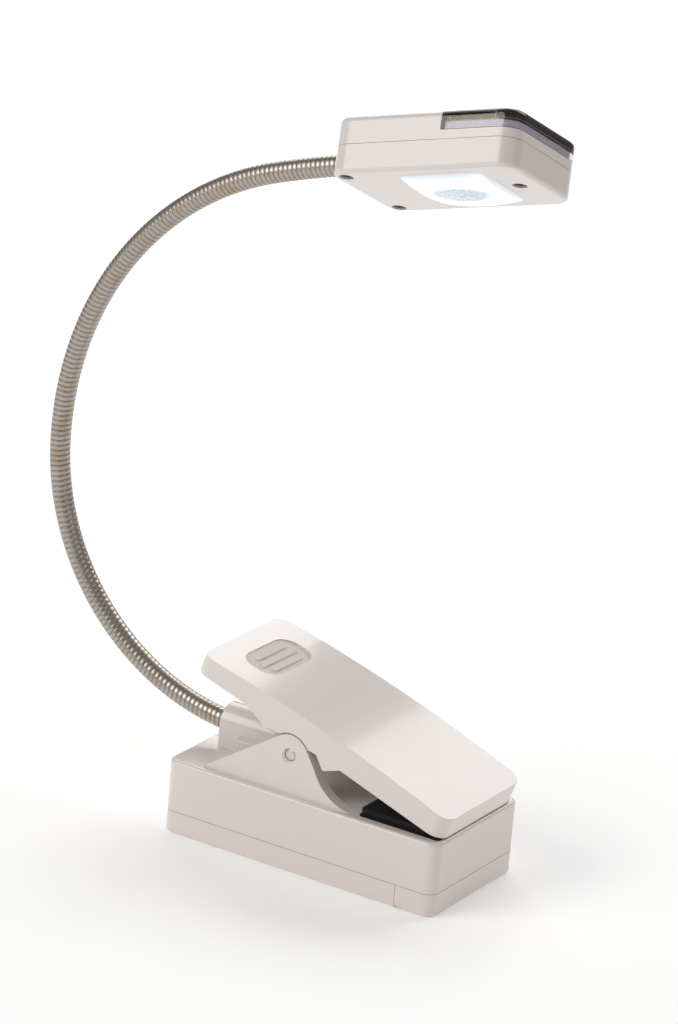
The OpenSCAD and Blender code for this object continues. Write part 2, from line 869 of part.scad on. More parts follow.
module head_upper_shell() {
    color(off_white) head_frame() difference() {
        union() {
            difference() {
                head_slab(0, -1, head_l + 1, head_seam, head_t + 1);
                window_zone(0);
                head_slab(head_wall, 0, window_x - core_wall, 0, head_t);
                head_slab(core_in + core_wall, window_x - core_wall - 1, head_l, 0, head_t);
            }
            difference() {
                head_slab(core_in, window_x - e, head_l, window_z - e, head_t);
                head_slab(core_in + core_wall, window_x - core_wall, head_l, 0, head_t);
            }
            intersection() {
                neck_saddle();
                box(0, head_l, head_w, head_seam, head_t);
            }
            at_head_screws() translate([0, 0, head_seam])
                cylinder(d = post_d, h = head_t - head_seam - head_wall);
        }
        neck_tip_bore();
        at_head_screws() cylinder(d = head_screw_d, h = head_t - head_wall - 1);
        translate([button_x, 0, head_t - head_wall - 1])
            cylinder(d = button_d + 2 * slide_gap, h = head_wall + 2);
    }
}

module smoked_window() {
    color([0.20, 0.16, 0.13, 0.75]) head_frame() difference() {
        intersection() {
            head_form(0);
            window_zone(-seam_gap);
        }
        head_form(window_t);
    }
}

// Pale strip that stands behind the window's lower edge
module window_liner() {
    inset = window_t + 0.1;
    color([0.86, 0.86, 0.92]) head_frame() difference() {
        head_slab(inset, window_x + 0.3, head_l, window_z + seam_gap, window_z + seam_gap + liner_h);
        head_form(inset + liner_t);
    }
}

module lens() {
    dome_r = (pow(lens_l / 2, 2) + pow(lens_w / 2, 2)) / (2 * lens_proud);
    color([0.95, 0.97, 1.0, 0.8]) head_frame() {
        translate([lens_x, 0, 0]) intersection() {
            translate([0, 0, -lens_proud]) linear_extrude(lens_proud + head_wall + e)
                rounded(lens_l, lens_w, 1.6);
            translate([0, 0, dome_r - lens_proud]) sphere(dome_r, $fn = 256);
        }
        translate([lens_x, 0, head_wall])
            linear_extrude(flange_h)
                rounded(lens_l + 2 * flange_lip, lens_w + 2 * flange_lip, 1.6);
    }
}

module reflector() {
    low_r = lens_w / 2 - 0.6;
    high_r = 2.6;
    h = led_board_z - led_t - reflector_z0 - 0.1;
    color([0.93, 0.93, 0.92]) head_frame() translate([lens_x, 0, reflector_z0])
        difference() {
            cylinder(r1 = low_r, r2 = high_r + 0.5, h = h);
            translate([0, 0, -e]) cylinder(r1 = low_r - 0.6, r2 = high_r, h = h + 2 * e);
        }
}

module led_board() {
    color(board_green) head_frame()
        box(led_board_x0, led_board_x1, led_board_w, led_board_z, led_board_z + board_t);
}

module led() {
    color([0.98, 0.92, 0.55]) head_frame()
        translate([lens_x, 0, led_board_z - led_t / 2]) cube([3.5, 3.5, led_t], center = true);
}

// The lead's last stretch, from the neck's tip to the lamp's board
module head_leads() {
    for (s = [-1, 1])
        color(s > 0 ? [0.7, 0.1, 0.1] : [0.12, 0.12, 0.13]) head_frame()
            wire([[1, s * lead_gap, axis_z], [tip_l + 3, s * lead_gap, axis_z],
                  [tip_l + 4.5, s * 2, axis_z], [tip_l + 10, s * 2, led_board_z - lead_d / 2]],
                 lead_d);
}

module switch_body() {
    color([0.12, 0.12, 0.13]) head_frame()
        box(button_x - 3, button_x + 3, 6, led_board_z + board_t, switch_top);
}

module power_button() {
    low = switch_top + button_travel + 0.1;
    color([0.75, 0.74, 0.73]) head_frame() translate([button_x, 0, low])
        cylinder(d = button_d, h = head_t + button_proud - low);
}

module head_screws() {
    color([0.15, 0.15, 0.16]) head_frame() at_head_screws()
        translate([0, 0, 0.4]) screw(head_screw_d, head_screw_head, 1.1, 8.5);
}

base_shell();
front_tray();
battery_cover();
cells();
contact_springs();
contact_plates();
driver_board();
driver_parts();
base_leads();
tray_screws();
socket_screws();
jaw_pad();
lever_pad();
hinge_pin();
clamp_spring();
clamp_lever();
neck_socket();
neck_root();
neck_link_01();
neck_link_02();
neck_link_03();
neck_link_04();
neck_link_05();
neck_link_06();
neck_link_07();
neck_link_08();
neck_link_09();
neck_link_10();
neck_tip();
head_collar();
head_lower_shell();
head_upper_shell();
smoked_window();
window_liner();
lens();
reflector();
led_board();
led();
head_leads();
switch_body();
power_button();
head_screws();
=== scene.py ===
import json
import logging
import math
from abc import ABC, abstractmethod
from collections.abc import Callable
from dataclasses import dataclass, field
from enum import Enum

import bmesh
import bpy
from mathutils import Matrix, Vector

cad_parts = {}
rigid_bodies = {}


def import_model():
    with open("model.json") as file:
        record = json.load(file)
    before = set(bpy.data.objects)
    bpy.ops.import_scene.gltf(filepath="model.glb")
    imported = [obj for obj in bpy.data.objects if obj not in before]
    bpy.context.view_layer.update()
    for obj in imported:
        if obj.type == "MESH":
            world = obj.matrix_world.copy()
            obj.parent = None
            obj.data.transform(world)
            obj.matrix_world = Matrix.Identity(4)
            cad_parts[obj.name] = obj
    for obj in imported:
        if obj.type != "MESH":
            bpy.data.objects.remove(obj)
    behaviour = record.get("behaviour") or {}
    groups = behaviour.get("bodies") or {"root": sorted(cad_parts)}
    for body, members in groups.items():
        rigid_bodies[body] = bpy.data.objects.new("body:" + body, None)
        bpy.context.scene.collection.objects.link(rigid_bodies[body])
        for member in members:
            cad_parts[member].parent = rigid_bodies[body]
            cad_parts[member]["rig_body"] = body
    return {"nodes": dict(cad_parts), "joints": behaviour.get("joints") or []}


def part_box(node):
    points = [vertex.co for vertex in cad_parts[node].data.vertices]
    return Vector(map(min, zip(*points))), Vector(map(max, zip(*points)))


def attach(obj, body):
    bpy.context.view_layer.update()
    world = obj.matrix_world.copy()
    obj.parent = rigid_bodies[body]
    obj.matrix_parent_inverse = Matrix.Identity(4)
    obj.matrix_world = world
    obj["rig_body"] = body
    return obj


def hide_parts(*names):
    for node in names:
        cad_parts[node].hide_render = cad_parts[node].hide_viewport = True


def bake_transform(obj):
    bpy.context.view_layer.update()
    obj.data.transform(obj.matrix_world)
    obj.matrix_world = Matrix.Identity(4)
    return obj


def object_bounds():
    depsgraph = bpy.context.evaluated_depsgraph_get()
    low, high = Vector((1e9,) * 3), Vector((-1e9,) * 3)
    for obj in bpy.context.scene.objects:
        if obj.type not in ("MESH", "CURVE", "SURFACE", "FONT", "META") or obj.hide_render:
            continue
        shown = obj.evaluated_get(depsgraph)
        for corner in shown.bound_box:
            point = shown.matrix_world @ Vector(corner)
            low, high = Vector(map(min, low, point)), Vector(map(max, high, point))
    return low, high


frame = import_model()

MM = 0.001
CAD_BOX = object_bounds()
LOG = logging.getLogger("clip_lamp")


class Surface(Enum):
    """How a metal's surface was finished."""

    DRAWN = "drawn"
    PLATED = "plated"
    BLACKED = "blacked"


# ---- Small helpers ----


def srgb(code: str) -> tuple[float, float, float, float]:
    """Turns an sRGB hex colour into the linear colour that shaders take.

    Args:
        code: Six hex digits, such as "E6DED6".

    Returns:
        Red, green, blue and alpha, with alpha 1.
    """
    values = [int(code[i : i + 2], 16) / 255 for i in (0, 2, 4)]
    linear = [v / 12.92 if v <= 0.04045 else ((v + 0.055) / 1.055) ** 2.4 for v in values]
    return (linear[0], linear[1], linear[2], 1.0)


def add(
    tree: bpy.types.NodeTree, kind: str, inputs: dict | None = None, **settings: object
) -> bpy.types.Node:
    """Adds one node with its settings, values and links.

    Args:
        tree: The node tree that takes the node.
        kind: The node's type name.
        inputs: Input socket names or numbers, each with a value or a socket to link from.
        **settings: Properties to set on the node.

    Returns:
        The new node.
    """
    node = tree.nodes.new(kind)
    for name, value in settings.items():
        setattr(node, name, value)
    for key, value in (inputs or {}).items():
        if isinstance(value, bpy.types.NodeSocket):
            tree.links.new(value, node.inputs[key])
        else:
            node.inputs[key].default_value = value
    return node


def new_object(name: str, mesh: bpy.types.Mesh) -> bpy.types.Object:
    """Puts a mesh into the scene as an object at the origin.

    Args:
        name: The object's name.
        mesh: Its mesh.

    Returns:
        The new object.
    """
    obj = bpy.data.objects.new(name, mesh)
    bpy.context.scene.collection.objects.link(obj)
    return obj


def bake_modifiers(obj: bpy.types.Object) -> bpy.types.Object:
    """Turns an object's evaluated result into its plain mesh.

    Args:
        obj: An object with modifiers.

    Returns:
        The same object, with a plain mesh and no modifiers.
    """
    graph = bpy.context.evaluated_depsgraph_get()
    graph.update()
    mesh = bpy.data.meshes.new_from_object(obj.evaluated_get(graph), depsgraph=graph)
    obj.modifiers.clear()
    obj.data = mesh
    return obj


def smooth(obj: bpy.types.Object, angle: float = 35.0) -> bpy.types.Object:
    """Shades an object smoothly, and keeps edges sharper than the angle crisp.

    Args:
        obj: The object to shade.
        angle: The sharpest edge that is smoothed, in degrees.

    Returns:
        The same object.
    """
    obj.data.shade_smooth()
    obj.data.set_sharp_from_angle(angle=math.radians(angle))
    return obj


def dress(obj: bpy.types.Object, finish: "Finish") -> bpy.types.Object:
    """Gives an object one finish as its only material.

    Args:
        obj: The object.
        finish: Its finish.

    Returns:
        The same object.
    """
    obj.data.materials.clear()
    obj.data.materials.append(finish.material())
    return obj


def dress_node(node: str, finish: "Finish") -> None:
    """Gives a CAD node a finish.

    Args:
        node: The node's name.
        finish: Its finish.
    """
    obj = frame["nodes"][node]
    obj.data.materials.clear()
    obj.data.materials.append(finish.material())
    LOG.info("%s dressed as %s", node, finish.name)


def softened(
    node: str, width: float, segments: int = 3, angle: float = 40.0,
    share: Callable[[Vector], float] | None = None,
) -> bpy.types.Object:
    """Copies a CAD node and rounds its sharp edges, as a moulding's edges are.

    Args:
        node: The CAD node's name.
        width: Width of the rounding, in millimetres.
        segments: Number of steps in the rounding.
        angle: Only edges sharper than this are rounded, in degrees.
        share: Gives the share of the width at a point, or None for the full width everywhere.

    Returns:
        The rounded copy, which replaces the node and rides on its body.
    """
    source = frame["nodes"][node]
    mesh = bpy.data.meshes.new(node + "_soft")
    work = bmesh.new()
    work.from_mesh(source.data)
    bmesh.ops.remove_doubles(work, verts=work.verts, dist=0.001 * MM)
    bmesh.ops.dissolve_limit(
        work, angle_limit=math.radians(0.3), verts=work.verts, edges=work.edges
    )
    bmesh.ops.recalc_face_normals(work, faces=work.faces)
    weight = work.edges.layers.float.new("bevel_weight_edge")
    for edge in work.edges:
        if edge.is_manifold and edge.calc_face_angle(0.0) > math.radians(angle):
            middle = (edge.verts[0].co + edge.verts[1].co) / 2
            edge[weight] = share(middle) if share else 1.0
    work.to_mesh(mesh)
    work.free()
    obj = new_object(node + "_soft", mesh)
    bevel = obj.modifiers.new("round", "BEVEL")
    bevel.width = width * MM
    bevel.segments = segments
    bevel.limit_method = "WEIGHT"
    bevel.use_clamp_overlap = True
    bevel.miter_outer = "MITER_ARC"
    smooth(bake_modifiers(obj), 30)
    even = obj.modifiers.new("even", "WEIGHTED_NORMAL")
    even.mode = "FACE_AREA"
    even.weight = 100
    even.keep_sharp = True
    bake_modifiers(obj)
    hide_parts(node)
    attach(obj, source["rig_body"])
    return obj


# ---- Finishes ----


class Finish(ABC):
    """A finish: what a surface is made of and how it was made."""

    name: str

    def material(self) -> bpy.types.Material:
        """Finds the finish's material, or builds it the first time.

        Returns:
            The material.
        """
        found = bpy.data.materials.get(self.name)
        if found:
            return found
        made = bpy.data.materials.new(self.name)
        made.use_nodes = True
        made.node_tree.nodes.clear()
        out = add(made.node_tree, "ShaderNodeOutputMaterial")
        shader = self.shade(made.node_tree)
        made.node_tree.links.new(shader.outputs[0], out.inputs["Surface"])
        return made

    @abstractmethod
    def shade(self, tree: bpy.types.NodeTree) -> bpy.types.Node:
        """Builds the finish's shader in the tree and returns its last node."""


@dataclass(frozen=True)
class MouldedPlastic(Finish):
    """Injection-moulded ABS or similar: smooth, with a faint orange peel and slight mottling."""

    name: str = "moulded_abs"
    colour: str = "E2DAD5"
    shade_colour: str = "E0D8D3"
    roughness: float = 0.2
    coat: float = 0.2
    peel_mm: float = 1.6
    peel: float = 0.006
    mottle_mm: float = 30.0
    scuff_mm: float = 12.0
    scuff: float = 0.03

    def shade(self, tree: bpy.types.NodeTree) -> bpy.types.Node:
        """Builds the plastic.

        Args:
            tree: The material's node tree.

        Returns:
            The shader node.
        """
        place = add(tree, "ShaderNodeTexCoord")
        here = place.outputs["Object"]
        mottle = add(
            tree, "ShaderNodeTexNoise",
            {"Vector": here, "Scale": 1 / (self.mottle_mm * MM), "Detail": 1.0, "Roughness": 0.5},
        )
        tint = add(
            tree, "ShaderNodeMix",
            {0: mottle.outputs["Fac"], 6: srgb(self.colour), 7: srgb(self.shade_colour)},
            data_type="RGBA",
        )
        scuff = add(
            tree, "ShaderNodeTexNoise",
            {"Vector": here, "Scale": 1 / (self.scuff_mm * MM), "Detail": 1.0, "Roughness": 0.5},
        )
        gloss = add(
            tree, "ShaderNodeMapRange",
            {0: scuff.outputs["Fac"], 1: 0.3, 2: 0.75, 3: self.roughness, 4: self.roughness + self.scuff},
        )
        peel = add(
            tree, "ShaderNodeTexNoise",
            {"Vector": here, "Scale": 1 / (self.peel_mm * MM), "Detail": 2.0},
        )
        bump = add(
            tree, "ShaderNodeBump",
            {"Strength": self.peel, "Distance": 0.05 * MM, "Height": peel.outputs["Fac"]},
        )
        return add(
            tree, "ShaderNodeBsdfPrincipled",
            {
                "Base Color": tint.outputs[2], "Roughness": gloss.outputs[0], "IOR": 1.53,
                "Normal": bump.outputs[0], "Coat Weight": self.coat, "Coat Roughness": 0.06,
            },
        )


@dataclass(frozen=True)
class WoundSteel(Finish):
    """Close-wound bright steel wire: light crests, and painted brown shade in the grooves between turns.
    """

    name: str = "wound_steel_wire"
    crest: str = "B3ABA4"
    # groove: painted shade, the dark colour that the grooves between turns are given.
    groove: str = "4B423A"
    stain: str = "AE9B7E"
    roughness: float = 0.33

    def shade(self, tree: bpy.types.NodeTree) -> bpy.types.Node:
        """Builds the wire, whose colour darkens to painted shade by how deep in the groove a point lies.

        Args:
            tree: The material's node tree.

        Returns:
            The shader node.
        """
        place = add(tree, "ShaderNodeTexCoord")
        depth = add(tree, "ShaderNodeAttribute", attribute_name="groove")
        stain = add(
            tree, "ShaderNodeTexNoise",
            {"Vector": place.outputs["Object"], "Scale": 1 / (3.5 * MM), "Detail": 3.0},
        )
        edge = add(
            tree, "ShaderNodeMapRange",
            {0: stain.outputs["Fac"], 1: 0.5, 2: 0.7, 3: 0.0, 4: 0.75},
        )
        bright = add(
            tree, "ShaderNodeMix",
            {0: edge.outputs[0], 6: srgb(self.crest), 7: srgb(self.stain)},
            data_type="RGBA",
        )
        # Painted shade: the colour darkens towards the groove colour with the groove's depth.
        colour = add(
            tree, "ShaderNodeMix",
            {0: depth.outputs["Fac"], 6: bright.outputs[2], 7: srgb(self.groove)},
            data_type="RGBA",
        )
        gloss = add(
            tree, "ShaderNodeMapRange",
            {0: depth.outputs["Fac"], 1: 0.0, 2: 1.0, 3: self.roughness, 4: 0.5},
        )
        return add(
            tree, "ShaderNodeBsdfPrincipled",
            {"Base Color": colour.outputs[2], "Metallic": 1.0, "Roughness": gloss.outputs[0]},
        )


@dataclass(frozen=True)
class Metal(Finish):
    """Bare or treated metal with fine working marks."""

    name: str
    colour: str
    surface: Surface
    roughness: float = 0.25

    def shade(self, tree: bpy.types.NodeTree) -> bpy.types.Node:
        """Builds the metal.

        Args:
            tree: The material's node tree.

        Returns:
            The shader node.
        """
        grain = {Surface.DRAWN: (0.08, 1.2, 1.2), Surface.PLATED: (0.5, 0.5, 0.5),
                 Surface.BLACKED: (0.3, 0.3, 0.3)}[self.surface]
        place = add(tree, "ShaderNodeTexCoord")
        stretch = add(
            tree, "ShaderNodeMapping",
            {"Vector": place.outputs["Object"], "Scale": tuple(g / MM for g in grain)},
        )
        marks = add(
            tree, "ShaderNodeTexNoise",
            {"Vector": stretch.outputs[0], "Scale": 1.6, "Detail": 5.0, "Roughness": 0.65},
        )
        gloss = add(
            tree, "ShaderNodeMapRange",
            {0: marks.outputs["Fac"], 1: 0.3, 2: 0.7, 3: self.roughness, 4: self.roughness + 0.15},
        )
        bump = add(
            tree, "ShaderNodeBump",
            {"Strength": 0.12, "Distance": 0.02 * MM, "Height": marks.outputs["Fac"]},
        )
        return add(
            tree, "ShaderNodeBsdfPrincipled",
            {
                "Base Color": srgb(self.colour), "Roughness": gloss.outputs[0],
                "Metallic": 0.4 if self.surface is Surface.BLACKED else 1.0,
                "Normal": bump.outputs[0],
            },
        )


@dataclass(frozen=True)
class PadRubber(Finish):
    """Moulded black rubber: matt, finely textured, a little dusty on its high spots."""

    name: str = "black_rubber"
    colour: str = "0E0C0D"
    dust: str = "1E1B1B"

    def shade(self, tree: bpy.types.NodeTree) -> bpy.types.Node:
        """Builds the rubber.

        Args:
            tree: The material's node tree.

        Returns:
            The shader node.
        """
        place = add(tree, "ShaderNodeTexCoord")
        grain = add(
            tree, "ShaderNodeTexNoise",
            {"Vector": place.outputs["Object"], "Scale": 1 / (0.35 * MM), "Detail": 6.0},
        )
        tint = add(
            tree, "ShaderNodeMix",
            {0: grain.outputs["Fac"], 6: srgb(self.colour), 7: srgb(self.dust)},
            data_type="RGBA",
        )
        bump = add(
            tree, "ShaderNodeBump",
            {"Strength": 0.4, "Distance": 0.05 * MM, "Height": grain.outputs["Fac"]},
        )
        return add(
            tree, "ShaderNodeBsdfPrincipled",
            {"Base Color": tint.outputs[2], "Roughness": 0.78, "IOR": 1.45,
             "Normal": bump.outputs[0]},
        )


@dataclass(frozen=True)
class SmokedClear(Finish):
    """Smoked clear plastic, polished: pale low down, amber above, with a thin dark rim line and painted
    near-black shade over its end above the strip.
    """

    name: str = "smoked_clear_plastic"
    colour: str = "E2D3A4"
    pale: str = "E6E4EA"
    # mask: the near-black colour of the painted shade over the window's end, also used for the thin dark
    # rim line.
    mask: str = "2B2422"
    roughness: float = 0.03
    border_mm: float = 0.5
    shade_from_mm: float = 42.5
    strip_top_mm: float = 11.1
    top_mm: float = 13.6
    start_mm: float = 28.6

    def shade(self, tree: bpy.types.NodeTree) -> bpy.types.Node:
        """Builds the smoked plastic, its thin dark rim line, and the painted shade over its end.

        Args:
            tree: The material's node tree.

        Returns:
            The shader node.
        """
        place = HeadPlace().matrix()
        origin = place.translation
        across = place.to_3x3()
        here = add(tree, "ShaderNodeTexCoord").outputs["Object"]
        away = add(
            tree, "ShaderNodeVectorMath", {0: here, 1: tuple(origin)}, operation="SUBTRACT"
        )
        along, height = (
            add(
                tree, "ShaderNodeVectorMath",
                {0: away.outputs[0], 1: tuple(across.col[axis] / MM)}, operation="DOT_PRODUCT",
            ).outputs["Value"]
            for axis in (0, 2)
        )
        # Painted shade: the window's end above the strip is turned near-black and opaque.
        end = add(
            tree, "ShaderNodeMapRange",
            {0: along, 1: self.shade_from_mm - 0.3, 2: self.shade_from_mm + 0.3, 3: 0.0, 4: 1.0},
        )
        upper = add(
            tree, "ShaderNodeMapRange",
            {0: height, 1: self.strip_top_mm - 0.1, 2: self.strip_top_mm + 0.1, 3: 0.0, 4: 1.0},
        )
        both = add(tree, "ShaderNodeMath", {0: end.outputs[0], 1: upper.outputs[0]}, operation="MULTIPLY")
        rim = add(
            tree, "ShaderNodeMapRange",
            {0: height, 1: self.top_mm - 1.0, 2: self.top_mm - 0.8, 3: 0.0, 4: 1.0},
        )
        start = add(
            tree, "ShaderNodeMapRange",
            {0: along, 1: self.start_mm + self.border_mm, 2: self.start_mm + self.border_mm + 0.15,
             3: 1.0, 4: 0.0},
        )
        edge = add(tree, "ShaderNodeMath", {0: rim.outputs[0], 1: start.outputs[0]}, operation="MAXIMUM")
        # dark joins the painted end shade with the thin rim line.
        dark = add(tree, "ShaderNodeMath", {0: both.outputs[0], 1: edge.outputs[0]}, operation="MAXIMUM")
        zone = add(
            tree, "ShaderNodeMix",
            {0: upper.outputs[0], 6: srgb(self.pale), 7: srgb(self.colour)}, data_type="RGBA",
        )
        tint = add(
            tree, "ShaderNodeMix",
            {0: dark.outputs[0], 6: zone.outputs[2], 7: srgb(self.mask)}, data_type="RGBA",
        )
        clear = add(
            tree, "ShaderNodeMath", {0: 1.0, 1: dark.outputs[0]}, operation="SUBTRACT",
            use_clamp=True,
        )
        flow = add(
            tree, "ShaderNodeTexNoise", {"Vector": here, "Scale": 1 / (9 * MM), "Detail": 2.0}
        )
        gloss = add(
            tree, "ShaderNodeMapRange",
            {0: flow.outputs["Fac"], 1: 0.3, 2: 0.7, 3: self.roughness, 4: self.roughness + 0.05},
        )
        return add(
            tree, "ShaderNodeBsdfPrincipled",
            {"Base Color": tint.outputs[2], "Roughness": gloss.outputs[0], "IOR": 1.49,
             "Transmission Weight": clear.outputs[0]},
        )


@dataclass(frozen=True)
class StippledLens(Finish):
    """Frosted acrylic, lit from inside: white, with a duller bluish stippled middle."""

    name: str = "stippled_lens"
    colour: str = "F4F8FC"
    middle: str = "C0CEDC"
    body: str = "9AA3AC"
    glow: float = 1.05
    middle_glow: float = 0.36
    rim_share: float = 0.62
    half_length_mm: float = 10.5
    half_width_mm: float = 10.0
    middle_long: float = 0.86
    middle_wide: float = 0.6
    stipple_mm: float = 0.8

    def shade(self, tree: bpy.types.NodeTree) -> bpy.types.Node:
        """Builds the lit lens: bright, with a duller oval in its middle and a dimmer rim.

        Args:
            tree: The material's node tree.

        Returns:
            The shader node.
        """
        low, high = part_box("lens")
        centre = (low + high) / 2
        place = add(tree, "ShaderNodeTexCoord")
        here = place.outputs["Object"]
        dots = add(
            tree, "ShaderNodeTexVoronoi",
            {"Vector": here, "Scale": 1 / (self.stipple_mm * MM)},
        )
        cells = add(
            tree, "ShaderNodeMapRange", {0: dots.outputs["Distance"], 1: 0.1, 2: 0.8, 3: 0.55, 4: 1.0}
        )
        sides = HeadPlace().matrix().to_3x3()
        away = add(
            tree, "ShaderNodeVectorMath", {0: here, 1: tuple(centre)}, operation="SUBTRACT"
        )
        reach = [
            add(
                tree, "ShaderNodeMath",
                {0: add(
                    tree, "ShaderNodeVectorMath",
                    {0: away.outputs[0], 1: tuple(sides.col[axis] / (half * MM))},
                    operation="DOT_PRODUCT",
                ).outputs["Value"]},
                operation="ABSOLUTE",
            ).outputs[0]
            for axis, half in ((0, self.half_length_mm), (1, self.half_width_mm))
        ]
        oval = add(tree, "ShaderNodeCombineXYZ", {0: reach[0], 1: reach[1]})
        wide = add(
            tree, "ShaderNodeVectorMath",
            {0: oval.outputs[0], 1: (1 / self.middle_long, 1 / self.middle_wide, 1.0)},
            operation="MULTIPLY",
        )
        middle = add(tree, "ShaderNodeVectorMath", {0: wide.outputs[0]}, operation="LENGTH")
        shade = add(
            tree, "ShaderNodeMapRange",
            {0: middle.outputs["Value"], 1: 0.6, 2: 1.0, 3: 1.0, 4: 0.0},
            interpolation_type="SMOOTHSTEP",
        )
        veil = add(
            tree, "ShaderNodeMath", {0: shade.outputs[0], 1: cells.outputs[0]}, operation="MULTIPLY"
        )
        colour = add(
            tree, "ShaderNodeMix",
            {0: veil.outputs[0], 6: srgb(self.colour), 7: srgb(self.middle)},
            data_type="RGBA",
        )
        inner = add(
            tree, "ShaderNodeMapRange",
            {0: veil.outputs[0], 1: 0.0, 2: 1.0, 3: self.glow, 4: self.middle_glow},
        )
        edge = add(tree, "ShaderNodeMath", {0: reach[0], 1: reach[1]}, operation="MAXIMUM")
        rim = add(
            tree, "ShaderNodeMapRange",
            {0: edge.outputs[0], 1: 0.84, 2: 0.95, 3: 1.0, 4: self.rim_share},
            interpolation_type="SMOOTHSTEP",
        )
        power = add(
            tree, "ShaderNodeMath", {0: inner.outputs[0], 1: rim.outputs[0]}, operation="MULTIPLY"
        )
        bump = add(
            tree, "ShaderNodeBump",
            {"Strength": 0.5, "Distance": 0.08 * MM, "Height": dots.outputs["Distance"]},
        )
        return add(
            tree, "ShaderNodeBsdfPrincipled",
            {"Base Color": srgb(self.body), "Roughness": 0.28, "IOR": 1.49,
             "Emission Color": colour.outputs[2], "Emission Strength": power.outputs[0],
             "Normal": bump.outputs[0]},
        )


@dataclass(frozen=True)
class Coated(Finish):
    """A simple coated or moulded small part with grain in its colour and bump."""

    name: str
    colour: str
    second: str
    grain_mm: float = 1.5
    roughness: float = 0.45
    emission: float = 0.0

    def shade(self, tree: bpy.types.NodeTree) -> bpy.types.Node:
        """Builds the coated part.

        Args:
            tree: The material's node tree.

        Returns:
            The shader node.
        """
        place = add(tree, "ShaderNodeTexCoord")
        grain = add(
            tree, "ShaderNodeTexNoise",
            {"Vector": place.outputs["Object"], "Scale": 1 / (self.grain_mm * MM), "Detail": 5.0},
        )
        tint = add(
            tree, "ShaderNodeMix",
            {0: grain.outputs["Fac"], 6: srgb(self.colour), 7: srgb(self.second)},
            data_type="RGBA",
        )
        bump = add(
            tree, "ShaderNodeBump",
            {"Strength": 0.1, "Distance": 0.03 * MM, "Height": grain.outputs["Fac"]},
        )
        return add(
            tree, "ShaderNodeBsdfPrincipled",
            {"Base Color": tint.outputs[2], "Roughness": self.roughness, "IOR": 1.5,
             "Normal": bump.outputs[0], "Emission Color": srgb(self.colour),
             "Emission Strength": self.emission},
        )


@dataclass(frozen=True)
class CircuitBoard(Finish):
    """Solder mask over copper: deep green, with lighter tracks that show through."""

    name: str = "circuit_board"
    mask: str = "14502A"
    track: str = "2E7A3E"
    track_mm: float = 1.3

    def shade(self, tree: bpy.types.NodeTree) -> bpy.types.Node:
        """Builds the board's mask and tracks.

        Args:
            tree: The material's node tree.

        Returns:
            The shader node.
        """
        place = add(tree, "ShaderNodeTexCoord")
        tracks = add(
            tree, "ShaderNodeTexBrick",
            {"Vector": place.outputs["Object"], "Color1": srgb(self.mask), "Color2": srgb(self.mask),
             "Mortar": srgb(self.track), "Scale": 1 / (4 * self.track_mm * MM), "Mortar Size": 0.05},
        )
        return add(
            tree, "ShaderNodeBsdfPrincipled",
            {"Base Color": tracks.outputs["Color"], "Roughness": 0.3, "IOR": 1.5,
             "Coat Weight": 0.4},
        )


@dataclass(frozen=True)
class CellWrap(Finish):
    """Printed sleeve of a dry cell: a dark body and a copper band at its button end."""

    name: str = "cell_wrap"
    body: str = "23262C"
    band: str = "B27440"
    band_mm: float = 9.0

    def shade(self, tree: bpy.types.NodeTree) -> bpy.types.Node:
        """Builds the sleeve, whose band is measured from the button end.

        Args:
            tree: The material's node tree.

        Returns:
            The shader node.
        """
        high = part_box("cells")[1]
        place = add(tree, "ShaderNodeTexCoord")
        along = add(tree, "ShaderNodeSeparateXYZ", {"Vector": place.outputs["Object"]})
        band = add(
            tree, "ShaderNodeMath",
            {0: along.outputs["X"], 1: high.x - self.band_mm * MM}, operation="GREATER_THAN",
        )
        colour = add(
            tree, "ShaderNodeMix",
            {0: band.outputs[0], 6: srgb(self.body), 7: srgb(self.band)}, data_type="RGBA",
        )
        return add(
            tree, "ShaderNodeBsdfPrincipled",
            {"Base Color": colour.outputs[2], "Roughness": 0.3, "Metallic": 0.6},
        )


@dataclass(frozen=True)
class Backdrop(Finish):
    """Seamless white paper."""

    name: str = "white_paper"
    colour: str = "FFFFFF"
    glow: float = 0.14

    def shade(self, tree: bpy.types.NodeTree) -> bpy.types.Node:
        """Builds the paper.

        Args:
            tree: The material's node tree.

        Returns:
            The shader node.
        """
        place = add(tree, "ShaderNodeTexCoord")
        fibre = add(
            tree, "ShaderNodeTexNoise",
            {"Vector": place.outputs["Object"], "Scale": 1 / (4 * MM), "Detail": 3.0},
        )
        gloss = add(
            tree, "ShaderNodeMapRange", {0: fibre.outputs["Fac"], 1: 0.3, 2: 0.7, 3: 0.85, 4: 0.95}
        )
        return add(
            tree, "ShaderNodeBsdfPrincipled",
            {"Base Color": srgb(self.colour), "Roughness": gloss.outputs[0],
             "Specular IOR Level": 0.1, "Emission Color": srgb(self.colour),
             "Emission Strength": self.glow},
        )


SHELL = MouldedPlastic()
LEVER_SHELL = MouldedPlastic(name="polished_abs", roughness=0.15, coat=0.4, peel=0.01)
STEEL_WIRE = WoundSteel()
RUBBER = PadRubber()
BRIGHT_STEEL = Metal("bright_steel", "BDB2A6", Surface.PLATED, 0.22)
SPRING_STEEL = Metal("spring_steel", "9B9893", Surface.DRAWN, 0.28)
BLACK_SCREW = Metal("black_oxide_screw", "4C4749", Surface.BLACKED, 0.35)
BRASS = Metal("contact_brass", "C9A35B", Surface.PLATED, 0.3)
SMOKE = SmokedClear()
LENS = StippledLens()
BOARD = CircuitBoard()
WRAP = CellWrap()
BLACK_PLASTIC = Coated("black_moulding", "18181A", "222224", 0.8, 0.5)
